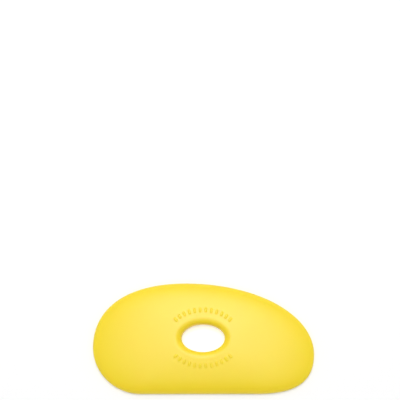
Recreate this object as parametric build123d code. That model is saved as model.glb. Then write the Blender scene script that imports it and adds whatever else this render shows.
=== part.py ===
from build123d import *
import os
from math import atan2, cos, degrees, radians, sin, sqrt

# A hand rib for clay work, cast in one piece of soft polyurethane. It lies on its flat back:
# +X points to the narrow end, +Y to the arched back edge, +Z out of the crowned face. The origin is
# on the back, under the middle of the finger hole. All lengths are in millimetres.

# The outline: a straight base edge and four curved quarters between its highest and widest points.
rib_length = 127.0  # broad end to narrow end
rib_width = 63.5  # base edge to the highest point of the arched edge
top_share = 0.417  # place of the highest point along the length, from the broad end
broad_end_share = 0.422  # height of the broad end's widest point up the width
narrow_end_share = 0.357  # height of the narrow end's widest point up the width
base_start_share = 0.218  # where the straight base edge starts along the length
base_end_share = 0.748  # where it ends
# How full each quarter is: the share of the way from its chord's middle to its corner.
broad_base_fullness_share = 0.41
broad_top_fullness_share = 0.468
narrow_top_fullness_share = 0.418
narrow_base_fullness_share = 0.514

# The section: the face is half an ellipse, cut off just inside its tips by the working edge.
rib_thickness = 9.0  # back to the top of the crown
edge_thickness = 2.4  # height of the working edge, with its bevels
ellipse_reach_share = 0.985  # how much of the ellipse's reach the face takes before the edge
face_bevel = 0.9  # of the working edge below the face: down the wall, and in from the rib's ends
back_bevel = 0.5  # the same at the back
section_count = 10  # steps of the loft from the working edge to the middle of the crown

# The finger hole.
hole_length = 24.7
hole_width = 15.9
rim_round = 3.7  # rolled rim on the crowned face
back_rim_bevel = 0.6

# Raised grip marks in two arcs round the finger hole.
mark_length = 3.0
mark_width = 1.1
mark_relief = 0.45  # how far the marks stand proud of the face
mark_ring_gap = 8.1  # wall of the hole to the middle of the marks
mark_count = 12  # in each arc
mark_arc_angle = 99.0  # degrees of the ring that one arc spans

overrun = 1.0  # how far cutters run past what they cut
same_place = 0.01  # how near counts as lying at a height or on a wall


def quarter(start, corner, end, fullness_share):
    """A curve that leaves start and arrives at end along the two sides of their shared corner."""
    start, corner, end = Vector(start), Vector(corner), Vector(end)
    handle_share = 4 / 3 * fullness_share  # puts the middle of the cubic at its fullness
    leaving = start + (corner - start) * handle_share
    arriving = end + (corner - end) * handle_share
    return Bezier(start, leaving, arriving, end)


def outline(share=1.0, height=0.0):
    """The rib's outline, shrunk towards the middle of the finger hole to a share of its size."""

    def place(along_share, up_share):
        return (
            share * rib_length * (along_share - 0.5),
            share * rib_width * (up_share - 0.5),
            height,
        )

    base_start = place(base_start_share, 0)
    base_end = place(base_end_share, 0)
    broad_end = place(0, broad_end_share)
    narrow_end = place(1, narrow_end_share)
    top = place(top_share, 1)
    edges = [
        Line(base_start, base_end),
        quarter(base_end, place(1, 0), narrow_end, narrow_base_fullness_share),
        quarter(narrow_end, place(1, 1), top, narrow_top_fullness_share),
        quarter(top, place(0, 1), broad_end, broad_top_fullness_share),
        quarter(broad_end, place(0, 0), base_start, broad_base_fullness_share),
    ]
    return make_face(Wire(edges))


def face_height(share):
    """Height of the crowned face where its rim has shrunk to this share."""
    height_share = sqrt(1 - (ellipse_reach_share * share) ** 2)  # of the ellipse's own height
    cut_off_share = sqrt(1 - ellipse_reach_share**2)
    rise_share = (height_share - cut_off_share) / (1 - cut_off_share)
    return edge_thickness + rise_share * (rib_thickness - edge_thickness)


def crowned_blank():
    """The rib uncut: the working edge between its two bevels, and the face lofted through shrunken rims."""
    face_share = 1 - 2 * face_bevel / rib_length
    back_share = 1 - 2 * back_bevel / rib_length
    wall_top = edge_thickness - face_bevel
    foot = loft([outline(back_share), outline(height=back_bevel)], ruled=True)
    wall = extrude(outline(height=back_bevel), amount=wall_top - back_bevel)
    shoulder = loft([outline(height=wall_top), outline(face_share, edge_thickness)], ruled=True)
    last_share = 0.5 * min(hole_length / rib_length, hole_width / rib_width)  # well inside the hole
    step_share = (1 - last_share) / section_count
    rim_shares = [1 - step_share * step for step in range(section_count + 1)]
    face = loft([outline(face_share * share, face_height(share)) for share in rim_shares])
    return foot + wall + shoulder + face


def cut_finger_hole(body):
    """Cut the oval hole and roll its rim over on the crowned face."""
    oval = Ellipse(hole_length / 2, hole_width / 2)
    body -= Pos(0, 0, -overrun) * extrude(oval, amount=rib_thickness + 2 * overrun)

    def mouth_edges(on_crown):
        mouth = []
        for edge in body.edges():
            box = edge.bounding_box()
            inside = max(-box.min.X, box.max.X) < hole_length / 2 + same_place
            if inside and (box.min.Z > edge_thickness if on_crown else box.max.Z < same_place):
                mouth.append(edge)
        return mouth

    body = fillet(mouth_edges(on_crown=True), rim_round)
    return chamfer(mouth_edges(on_crown=False), back_rim_bevel)


def grip_marks(blank):
    """Short raised bars that follow the crown, in an arc above the finger hole and one below."""
    ring_reach_x = hole_length / 2 + mark_ring_gap
    ring_reach_y = hole_width / 2 + mark_ring_gap
    raised_blank = Pos(0, 0, mark_relief) * blank
    marks = []
    for arc_middle_angle in (90, 270):
        for index in range(mark_count):
            from_middle_share = index / (mark_count - 1) - 0.5
            angle = radians(arc_middle_angle + mark_arc_angle * from_middle_share)
            outward = degrees(atan2(sin(angle) / ring_reach_y, cos(angle) / ring_reach_x))
            place = Pos(ring_reach_x * cos(angle), ring_reach_y * sin(angle), edge_thickness)
            bar = extrude(Rectangle(mark_length, mark_width), amount=rib_thickness)
            marks.append((place * Rot(0, 0, outward) * bar) & raised_blank)
    return marks


def rib():
    blank = crowned_blank()
    return cut_finger_hole(blank) + grip_marks(blank)


os.makedirs("parts", exist_ok=True)
finished_rib = rib()
export_step(finished_rib, "parts/rib.step")
box = finished_rib.bounding_box()
print(f"rib: {box.size.X:.2f} x {box.size.Y:.2f} x {box.size.Z:.2f} mm, {finished_rib.volume / 1000:.1f} ml")
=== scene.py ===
from math import atan, cos, pi, radians, sin, sqrt, tan
import bpy
import numpy as np
from mathutils import Matrix, Vector


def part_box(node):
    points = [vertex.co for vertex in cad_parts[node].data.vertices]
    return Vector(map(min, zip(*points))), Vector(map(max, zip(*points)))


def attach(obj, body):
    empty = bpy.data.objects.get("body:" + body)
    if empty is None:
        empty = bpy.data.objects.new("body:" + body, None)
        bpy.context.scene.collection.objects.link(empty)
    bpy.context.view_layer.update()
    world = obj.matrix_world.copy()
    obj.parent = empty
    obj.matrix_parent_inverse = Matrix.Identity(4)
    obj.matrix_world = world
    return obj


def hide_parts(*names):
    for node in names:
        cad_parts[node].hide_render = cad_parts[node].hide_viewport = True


# A soft hand rib for clay, laid flat on its back on white paper and seen from above.
# +X is its narrow end, +Y its arched edge, +Z the crowned face. The frame is in metres.
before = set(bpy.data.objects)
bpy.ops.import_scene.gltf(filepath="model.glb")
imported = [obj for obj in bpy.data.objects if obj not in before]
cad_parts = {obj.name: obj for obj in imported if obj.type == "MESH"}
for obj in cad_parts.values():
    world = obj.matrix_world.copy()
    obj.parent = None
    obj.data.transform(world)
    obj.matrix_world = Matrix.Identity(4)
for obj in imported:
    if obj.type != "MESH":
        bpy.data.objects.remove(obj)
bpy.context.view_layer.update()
mm = 0.001
ribLow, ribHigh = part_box("rib")
ribLength = ribHigh.x - ribLow.x
ribWidth = ribHigh.y - ribLow.y
print("frame loaded: rib", round(ribLength / mm, 1), "x", round(ribWidth / mm, 1), "mm")


def linearColour(hexColour):
    channels = [int(hexColour[i:i + 2], 16) / 255 for i in (1, 3, 5)]
    # the sRGB curve
    linear = [c / 12.92 if c <= 0.04045 else ((c + 0.055) / 1.055) ** 2.4 for c in channels]
    return (*linear, 1.0)


def addNode(tree, kind, settings=None, links=None):
    node = tree.nodes.new(kind)
    for name, value in (settings or {}).items():
        if isinstance(name, str) and hasattr(node, name):
            setattr(node, name, value)
        else:
            node.inputs[name].default_value = value
    for name, source in (links or {}).items():
        tree.links.new(source, node.inputs[name])
    return node


def newMaterial(name):
    material = bpy.data.materials.new(name)
    material.use_nodes = True
    material.node_tree.nodes.clear()
    return material, material.node_tree


def newObject(name, data):
    added = bpy.data.objects.new(name, data)
    bpy.context.scene.collection.objects.link(added)
    return added


def evenShares(count):
    # from 0 up to 1, without 1 itself
    return np.linspace(0, 1, count, endpoint=False)


def cubicCurve(t, start, leaving, arriving, end):
    return (
        (1 - t) ** 3 * start
        + 3 * t * (1 - t) ** 2 * leaving
        + 3 * t**2 * (1 - t) * arriving
        + t**3 * end
    )


def handleShare(fullness):
    # how far a cubic's handles reach to its corner, which puts its middle at its fullness
    return 4 / 3 * fullness


# The outline: a straight base edge and four curved quarters round the finger hole's middle.
outlineShape = {
    "topShare": 0.417,  # highest point, along the length from the broad end
    "broadEndShare": 0.422,  # widest point of the broad end, up the width
    "narrowEndShare": 0.357,  # the same at the narrow end
    "baseStartShare": 0.218,  # straight base edge, along the length
    "baseEndShare": 0.748,
    # how full each quarter is, from its chord to its corner
    "narrowBaseFullness": 0.514,
    "narrowTopFullness": 0.418,
    "broadTopFullness": 0.468,
    "broadBaseFullness": 0.41,
    "stepsPerQuarter": 900,
}


def placeOnRib(alongShare, upShare):
    return np.array([ribLow.x + alongShare * ribLength, ribLow.y + upShare * ribWidth])


def quarterPoints(start, corner, end, fullness):
    handle = handleShare(fullness)
    leaving = start + (corner - start) * handle
    arriving = end + (corner - end) * handle
    t = evenShares(outlineShape["stepsPerQuarter"])[:, None]
    return cubicCurve(t, start, leaving, arriving, end)


def outlineTable():
    # the outline as polar angle and radius, sorted by angle
    shape = outlineShape
    baseStart = placeOnRib(shape["baseStartShare"], 0)
    baseEnd = placeOnRib(shape["baseEndShare"], 0)
    narrowEnd = placeOnRib(1, shape["narrowEndShare"])
    top = placeOnRib(shape["topShare"], 1)
    broadEnd = placeOnRib(0, shape["broadEndShare"])
    points = np.vstack([
        baseStart + (baseEnd - baseStart) * evenShares(shape["stepsPerQuarter"])[:, None],
        quarterPoints(baseEnd, placeOnRib(1, 0), narrowEnd, shape["narrowBaseFullness"]),
        quarterPoints(narrowEnd, placeOnRib(1, 1), top, shape["narrowTopFullness"]),
        quarterPoints(top, placeOnRib(0, 1), broadEnd, shape["broadTopFullness"]),
        quarterPoints(broadEnd, placeOnRib(0, 0), baseStart, shape["broadBaseFullness"]),
    ])
    angles = np.arctan2(points[:, 1], points[:, 0])
    order = np.argsort(angles)
    return angles[order], np.hypot(points[:, 0], points[:, 1])[order]


tableAngles, tableRadii = outlineTable()


def outlineRadius(angles):
    return np.interp(angles, tableAngles, tableRadii, period=2 * pi)


# The rib itself: one fine mesh that runs from the hole's wall over the face, round the edge and
# back under. Every ring of it is a scaled outline or an offset of the oval hole.
ribShape = {
    "crownHeight": 9.0 * mm,  # of the whole half ellipse, over the middle of the hole
    "wallHeight": 1.02 * mm,  # where that ellipse meets the edge wall
    "backRound": 0.6 * mm,  # rounding of the edge at the back
    "holeLength": 24.7 * mm,
    "holeWidth": 15.9 * mm,
    "rimReach": 4.3 * mm,  # the rolled rim, out over the face from the hole's wall
    "rimDrop": 3.5 * mm,  # and down the wall
    "rimFullness": 0.414,  # of the rim's curve, as for the outline's quarters
    "rimSlopeStep": 0.01 * mm,  # how far out the face's slope is taken where the rim meets it
    "backRimRound": 0.7 * mm,
    "edgeShare": 0.9,  # where the rings turn into plain scaled outlines
    # rings of the mesh, from the hole's wall round to it again
    "wallRings": 5,
    "rimRings": 18,
    "gapRings": 4,  # between the rim and the bars
    "middleRings": 24,
    "edgeRings": 22,
    "backRings": 6,
    "roundRings": 7,  # in each rounding at the back
    "columnStep": 1.0,  # degrees of the ring between two columns, where it is plain
}

# Raised grip bars in two arcs, one above the hole and one below.
gripShape = {
    "count": 12,  # in each arc
    "arcAngle": 99.0,  # degrees
    "length": 3.0 * mm,
    "width": 1.1 * mm,  # at half its height
    "relief": 0.42 * mm,
    "ringGap": 8.1 * mm,  # hole wall to the middle of the bars
    # where rings and columns cross a bar, from its middle line to past its foot, which is 1
    "crossingShares": (0, 0.2, 0.4, 0.6, 0.75, 0.9, 1.0, 1.12),
}


def faceHeight(share):
    rise = ribShape["crownHeight"] - ribShape["wallHeight"]
    return ribShape["wallHeight"] + rise * np.sqrt(np.maximum(0, 1 - share**2))


def shareAt(points):
    # how far out points lie, as a share of the way to the outline
    x, y = points[..., 0], points[..., 1]
    return np.hypot(x, y) / outlineRadius(np.arctan2(y, x))


def ovalReach(gap):
    # half the length and half the width of the oval that lies a gap outside the hole's wall
    return ribShape["holeLength"] / 2 + gap, ribShape["holeWidth"] / 2 + gap


def ovalPoints(ringAngles, gap):
    # points of that oval and its outward normals
    reachX, reachY = ovalReach(gap)
    points = np.stack([reachX * np.cos(ringAngles), reachY * np.sin(ringAngles)], axis=-1)
    normals = np.stack([np.cos(ringAngles) / reachX, np.sin(ringAngles) / reachY], axis=-1)
    return points, normals / np.linalg.norm(normals, axis=-1, keepdims=True)


def gripAngles():
    spread = np.linspace(-0.5, 0.5, gripShape["count"]) * radians(gripShape["arcAngle"])
    return np.concatenate([pi / 2 + spread, 3 * pi / 2 + spread])


def barFoot():
    # from a bar's middle line to its foot: its section is a parabola
    return gripShape["width"] / 2 * sqrt(2)


def barSteps(straight):
    # distances from a bar's middle that need a ring or a column
    rounded = straight + barFoot() * np.array(gripShape["crossingShares"])
    steps = rounded if straight == 0 else np.concatenate([[0, straight / 2], rounded])
    return np.concatenate([-steps[:0:-1], steps])


def ringColumns():
    # ring angles of the mesh columns: close together across each bar, even elsewhere
    reachX, reachY = ovalReach(gripShape["ringGap"])
    columns = []
    for angle in gripAngles():
        speed = sqrt((reachX * sin(angle)) ** 2 + (reachY * cos(angle)) ** 2)
        columns.extend(angle + barSteps(0) / speed)
    columns = np.sort(np.mod(columns, 2 * pi))
    filled = []
    for here, following in zip(columns, np.roll(columns, -1)):
        gap = (following - here) % (2 * pi)
        count = max(1, round(gap / radians(ribShape["columnStep"])))
        filled.extend(here + gap * evenShares(count))
    return np.sort(np.mod(filled, 2 * pi))


def gripRelief(points):
    # height of the bars over the face: rounded all over, highest on each bar's middle line
    middles, directions = ovalPoints(gripAngles(), gripShape["ringGap"])
    foot = barFoot()
    straight = gripShape["length"] / 2 - foot
    relief = np.zeros(points.shape[:-1])
    for middle, direction in zip(middles, directions):
        offset = points - middle
        along = np.abs(offset @ direction)
        across = offset @ np.array([-direction[1], direction[0]])
        away = np.hypot(np.maximum(0, along - straight), across) / foot
        relief = np.maximum(relief, gripShape["relief"] * (1 - away**2))
    return relief


def rolledRim(wall, normals):
    # the rim's rings from the wall out to the face, as distances from the wall and heights
    reach, drop, step = (ribShape[key] for key in ("rimReach", "rimDrop", "rimSlopeStep"))
    contact = faceHeight(shareAt(wall + normals * reach))
    slope = (faceHeight(shareAt(wall + normals * (reach + step))) - contact) / step
    corner = contact - slope * reach  # where the face, run straight on, would meet the wall
    handle = handleShare(ribShape["rimFullness"])
    wallTop = corner - drop
    leaving = wallTop + drop * handle
    arriving = contact + (corner - contact) * handle
    return [
        (
            cubicCurve(t, 0, 0, reach * (1 - handle), reach),
            cubicCurve(t, wallTop, leaving, arriving, contact),
        )
        for t in evenShares(ribShape["rimRings"])
    ]


def ribRings():
    # the rings of the mesh in order, each as x, y, z of every column
    shape = ribShape
    ringAngles = ringColumns()
    wall, wallNormals = ovalPoints(ringAngles, 0)
    ring, ringNormals = ovalPoints(ringAngles, gripShape["ringGap"])
    edgeAngles = np.arctan2(ribWidth * np.sin(ringAngles), ribLength * np.cos(ringAngles))
    edgeDirections = np.column_stack([np.cos(edgeAngles), np.sin(edgeAngles)])
    edge = outlineRadius(edgeAngles)[:, None] * edgeDirections
    rings = []

    def addRing(points, heights):
        rings.append(np.column_stack([points, np.broadcast_to(heights, len(points))]))

    def addFaceRing(points):
        addRing(points, faceHeight(shareAt(points)) + gripRelief(points))

    # up the hole's wall and over the rolled rim
    rim = rolledRim(wall, wallNormals)
    wallTop = rim[0][1]
    backRim = shape["backRimRound"]
    for upShare in evenShares(shape["wallRings"]):
        addRing(wall, backRim + upShare * (wallTop - backRim))
    for out, heights in rim:
        addRing(wall + wallNormals * out, heights)

    # the face: a gap, the grip bars, the middle of the crown and its fall to the edge
    rimOuter = wall + wallNormals * shape["rimReach"]
    alongBar = barSteps(gripShape["length"] / 2 - barFoot())
    barInner = ring + ringNormals * alongBar[0]
    barOuter = ring + ringNormals * alongBar[-1]
    for step in evenShares(shape["gapRings"]):
        addFaceRing(rimOuter + (barInner - rimOuter) * step)
    for along in alongBar[:-1]:
        addFaceRing(ring + ringNormals * along)
    for step in evenShares(shape["middleRings"]):
        addFaceRing(barOuter + (edge * shape["edgeShare"] - barOuter) * step)
    for angle in np.linspace(np.arcsin(shape["edgeShare"]), pi / 2, shape["edgeRings"]):
        addRing(edge * sin(angle), faceHeight(sin(angle)))

    # down the edge wall, round it and in over the flat back to the hole
    backRound = shape["backRound"]
    tangents = np.roll(edge, -1, axis=0) - np.roll(edge, 1, axis=0)
    edgeNormals = np.column_stack([tangents[:, 1], -tangents[:, 0]])
    edgeNormals /= np.linalg.norm(edgeNormals, axis=1, keepdims=True)
    addRing(edge, (shape["wallHeight"] + backRound) / 2)
    for turn in np.linspace(0, pi / 2, shape["roundRings"]):
        addRing(edge - edgeNormals * backRound * (1 - cos(turn)), backRound * (1 - sin(turn)))
    backOuter = edge - edgeNormals * backRound
    backInner = wall + wallNormals * backRim
    for step in evenShares(shape["backRings"])[1:]:
        addRing(backOuter + (backInner - backOuter) * step, 0)
    for turn in pi / 2 * evenShares(shape["roundRings"]):
        addRing(wall + wallNormals * backRim * (1 - sin(turn)), backRim * (1 - cos(turn)))
    return rings


def meshFromRings(name, rings):
    # the last ring joins the first, so the mesh is closed
    ringCount, columnCount = len(rings), len(rings[0])
    faces = []
    for r in range(ringCount):
        following = (r + 1) % ringCount
        for c in range(columnCount):
            beside = (c + 1) % columnCount
            faces.append((
                r * columnCount + c,
                following * columnCount + c,
                following * columnCount + beside,
                r * columnCount + beside,
            ))
    mesh = bpy.data.meshes.new(name)
    mesh.from_pydata(np.vstack(rings).tolist(), [], faces)
    mesh.validate()
    mesh.shade_smooth()
    return newObject(name, mesh)


# Cast polyurethane elastomer, pigmented through and poured in a machined mould: a soft satin
# skin with a broad pale sheen, deeper yellow wherever the surface turns away from the light.
castPolyurethane = {
    "colour": "#F2D60A",
    "paleColour": "#F4D914",  # thinner pigment in faint clouds
    "cloudSize": 14 * mm,
    "cloudDetail": 3.0,
    "cloudRoughness": 0.55,
    "roughness": 0.42,
    "roughnessSpread": 0.04,
    "ior": 1.65,
    "subsurface": 0.3,
    "subsurfaceDepth": 2 * mm,  # how far light goes in
    "subsurfaceShares": (1.0, 0.7, 0.12),  # of that depth: red light goes deepest, blue least
    "grainSize": 0.4 * mm,  # skin of the mould, drawn coarser and deeper than it is to show
    "grainDepth": 0.025 * mm,
    "grainDetail": 2.0,
    "grainRoughness": 0.6,
    "waveSize": 9 * mm,  # slow waves left by shrinkage
    "waveDepth": 0.02 * mm,
    "waveDetail": 1.0,
}


def castPolyurethaneMaterial():
    values = castPolyurethane
    material, tree = newMaterial("castPolyurethane")
    place = addNode(tree, "ShaderNodeTexCoord").outputs["Object"]
    clouds = addNode(tree, "ShaderNodeTexNoise", {
        "Scale": 1 / values["cloudSize"],
        "Detail": values["cloudDetail"],
        "Roughness": values["cloudRoughness"],
    }, {"Vector": place})
    colour = addNode(tree, "ShaderNodeMix", {
        "data_type": "RGBA",
        "A": linearColour(values["colour"]),
        "B": linearColour(values["paleColour"]),
    }, {"Factor": clouds.outputs["Fac"]})
    rough = addNode(tree, "ShaderNodeMapRange", {
        "To Min": values["roughness"] - values["roughnessSpread"],
        "To Max": values["roughness"] + values["roughnessSpread"],
    }, {"Value": clouds.outputs["Fac"]})
    waves = addNode(tree, "ShaderNodeTexNoise", {
        "Scale": 1 / values["waveSize"], "Detail": values["waveDetail"],
    }, {"Vector": place})
    waveBump = addNode(tree, "ShaderNodeBump", {"Distance": values["waveDepth"]}, {
        "Height": waves.outputs["Fac"],
    })
    grain = addNode(tree, "ShaderNodeTexNoise", {
        "Scale": 1 / values["grainSize"],
        "Detail": values["grainDetail"],
        "Roughness": values["grainRoughness"],
    }, {"Vector": place})
    grainBump = addNode(tree, "ShaderNodeBump", {"Distance": values["grainDepth"]}, {
        "Height": grain.outputs["Fac"], "Normal": waveBump.outputs["Normal"],
    })
    shader = addNode(tree, "ShaderNodeBsdfPrincipled", {
        "IOR": values["ior"],
        "Subsurface Weight": values["subsurface"],
        "Subsurface Scale": values["subsurfaceDepth"],
        "Subsurface Radius": values["subsurfaceShares"],
    }, {
        "Base Color": colour.outputs["Result"],
        "Roughness": rough.outputs["Result"],
        "Normal": grainBump.outputs["Normal"],
    })
    addNode(tree, "ShaderNodeOutputMaterial", {}, {"Surface": shader.outputs["BSDF"]})
    return material


ribPiece = meshFromRings("moulded_rib", ribRings())
ribPiece.data.materials.append(castPolyurethaneMaterial())
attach(ribPiece, "root")
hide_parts("rib")
print("rib made:", len(ribPiece.data.polygons), "faces")


# Matt white studio paper under the rib, which shows the rib's shadow and no reflection. In an
# oval that only the finger hole shows, it carries a painted glow that the camera and reflections
# see but that lights nothing. This paints out the shade in the hole, so that the hole is as white
# as the paper round the rib.
studioPaper = {
    "colour": "#F9F9F9",
    "roughness": 0.9,
    "size": 6.0,
    "gap": 0.05 * mm,  # under the rib's back
    "ovalLength": 25.4 * mm,
    "ovalWidth": 16.6 * mm,
    # painted light: the oval's glow is no lamp and covers the shade in the finger hole
    "paintedHoleGlow": 0.3,
}


def studioPaperMaterial():
    values = studioPaper
    material, tree = newMaterial("studioPaper")
    # 1 within the oval, 0 outside it
    oval = addNode(tree, "ShaderNodeMapping", {
        "Scale": (2 / values["ovalLength"], 2 / values["ovalWidth"], 1),
    }, {"Vector": addNode(tree, "ShaderNodeTexCoord").outputs["Object"]})
    outward = addNode(tree, "ShaderNodeVectorMath", {"operation": "LENGTH"}, {
        0: oval.outputs["Vector"],
    })
    inside = addNode(tree, "ShaderNodeMath", {"operation": "LESS_THAN", 1: 1.0}, {
        0: outward.outputs["Value"],
    })
    # for rays that see the paper, not for those that light the rib
    rays = addNode(tree, "ShaderNodeLightPath")
    direct = addNode(tree, "ShaderNodeMath", {"operation": "MAXIMUM"}, {
        0: rays.outputs["Is Camera Ray"], 1: rays.outputs["Is Glossy Ray"],
    })
    seen = addNode(tree, "ShaderNodeMath", {"operation": "MAXIMUM"}, {
        0: direct.outputs["Value"], 1: rays.outputs["Is Transmission Ray"],
    })
    shown = addNode(tree, "ShaderNodeMath", {"operation": "MULTIPLY"}, {
        0: inside.outputs["Value"], 1: seen.outputs["Value"],
    })
    # painted light: a glow in the oval that stands in for the missing shade in the hole
    strength = addNode(tree, "ShaderNodeMath", {
        "operation": "MULTIPLY", 1: values["paintedHoleGlow"],
    }, {0: shown.outputs["Value"]})
    glow = addNode(tree, "ShaderNodeEmission", {}, {"Strength": strength.outputs["Value"]})
    paper = addNode(tree, "ShaderNodeBsdfDiffuse", {
        "Color": linearColour(values["colour"]), "Roughness": values["roughness"],
    })
    both = addNode(tree, "ShaderNodeAddShader", {}, {
        0: paper.outputs["BSDF"], 1: glow.outputs["Emission"],
    })
    addNode(tree, "ShaderNodeOutputMaterial", {}, {"Surface": both.outputs["Shader"]})
    return material


def paperSheet():
    half = studioPaper["size"] / 2
    down = -studioPaper["gap"]
    corners = [(-half, -half, down), (half, -half, down), (half, half, down), (-half, half, down)]
    mesh = bpy.data.meshes.new("studio_paper")
    mesh.from_pydata(corners, [], [(0, 1, 2, 3)])
    mesh.materials.append(studioPaperMaterial())
    newObject("studio_paper", mesh)


paperSheet()
print("paper laid")


# Light: a long softbox that hangs level over the rib and reaches out past its arched edge, hot in
# its middle, in a pale room that is darker beyond the rib's base edge. A low white wall stands
# round it, out where the paper ends.
studioLight = {
    "softboxWidth": 0.48,
    "softboxLength": 2.16,
    "softboxHeight": 1.2,
    "softboxReach": 0.3,  # from over the rib to its middle, towards the arched edge
    "softboxRadiance": 1.7,  # where an even sky of 1 lights a white surface to 1
    "hotLength": 0.88,
    "hotReach": 0.45,
    "hotRadiance": 4.4,  # on top of the softbox's own
    "roomColour": "#FFFFFF",
    "roomLevel": 0.6,
    "baseSideLevel": 0.2,  # low beyond the base edge
    "wallLevel": 1.0,
    "wallHeight": 5.0,  # degrees over the level
    "wallFade": 10.0,  # and where it has faded into the room
}


def softboxPanel(name, part):
    # hangs level and shines straight down, as a new lamp does
    values = studioLight
    width, length = values["softboxWidth"], values[part + "Length"]
    lamp = bpy.data.lights.new(name, "AREA")
    lamp.shape = "RECTANGLE"
    lamp.size = width
    lamp.size_y = length
    # the power that gives a panel of this size its radiance
    lamp.energy = pi * width * length * values[part + "Radiance"]
    panel = newObject(name, lamp)
    panel.location = (0, values[part + "Reach"], values["softboxHeight"])
    panel.visible_camera = False


def studioWorld():
    values = studioLight
    world = bpy.data.worlds.new("studioRoom")
    bpy.context.scene.world = world
    world.use_nodes = True
    tree = world.node_tree
    tree.nodes.clear()
    direction = addNode(tree, "ShaderNodeSeparateXYZ", {}, {
        "Vector": addNode(tree, "ShaderNodeTexCoord").outputs["Generated"],
    })
    level = addNode(tree, "ShaderNodeMapRange", {
        "From Min": 0.0,
        "From Max": -1.0,  # level with the rib, out past its base edge
        "To Min": values["roomLevel"],
        "To Max": values["baseSideLevel"],
    }, {"Value": direction.outputs["Y"]})
    withWall = addNode(tree, "ShaderNodeMapRange", {
        "interpolation_type": "SMOOTHSTEP",
        "From Min": sin(radians(values["wallHeight"])),
        "From Max": sin(radians(values["wallFade"])),
        "To Min": values["wallLevel"],
    }, {"Value": direction.outputs["Z"], "To Max": level.outputs["Result"]})
    room = addNode(tree, "ShaderNodeBackground", {
        "Color": linearColour(values["roomColour"]),
    }, {"Strength": withWall.outputs["Result"]})
    addNode(tree, "ShaderNodeOutputWorld", {}, {"Surface": room.outputs["Background"]})


softboxPanel("softbox", "softbox")
softboxPanel("softbox_middle", "hot")
studioWorld()
print("lights set")


# The camera: straight down, a little from the base edge and the narrow end, with the rib low in
# the picture. The pixels are of the photograph's 400 by 400 frame.
cameraSetup = {
    "framePixels": 400,
    "ribPixels": 220.6,  # length of the rib in the picture
    "ribMiddlePixel": (203.4, 338.7),
    "distance": 1.5,
    "fromBaseEdge": 3.5,  # degrees
    "fromNarrowEnd": 1.8,
    "sensorWidth": 36.0,  # millimetres
}


def pictureCamera():
    values = cameraSetup
    pixelSize = values["sensorWidth"] / values["framePixels"]
    lens = values["ribPixels"] * pixelSize * values["distance"] / ribLength
    data = bpy.data.cameras.new("camera")
    data.sensor_width = values["sensorWidth"]
    data.lens = lens
    towardsCamera = Vector((
        tan(radians(values["fromNarrowEnd"])), -tan(radians(values["fromBaseEdge"])), 1,
    )).normalized()
    right = Vector((0, 1, 0)).cross(towardsCamera).normalized()
    facing = Matrix((right, towardsCamera.cross(right), towardsCamera)).transposed()
    # turned so that the rib's middle comes to its place in the picture
    offsets = (pixel - values["framePixels"] / 2 for pixel in values["ribMiddlePixel"])
    turnLeft, turnUp = (atan(offset * pixelSize / lens) for offset in offsets)
    turn = facing @ Matrix.Rotation(turnUp, 3, "X") @ Matrix.Rotation(turnLeft, 3, "Y")
    camera = newObject("camera", data)
    camera.matrix_world = Matrix.Translation(towardsCamera * values["distance"]) @ turn.to_4x4()
    bpy.context.scene.camera = camera


pictureCamera()
bpy.context.scene.view_settings.view_transform = "Standard"
print("camera set")
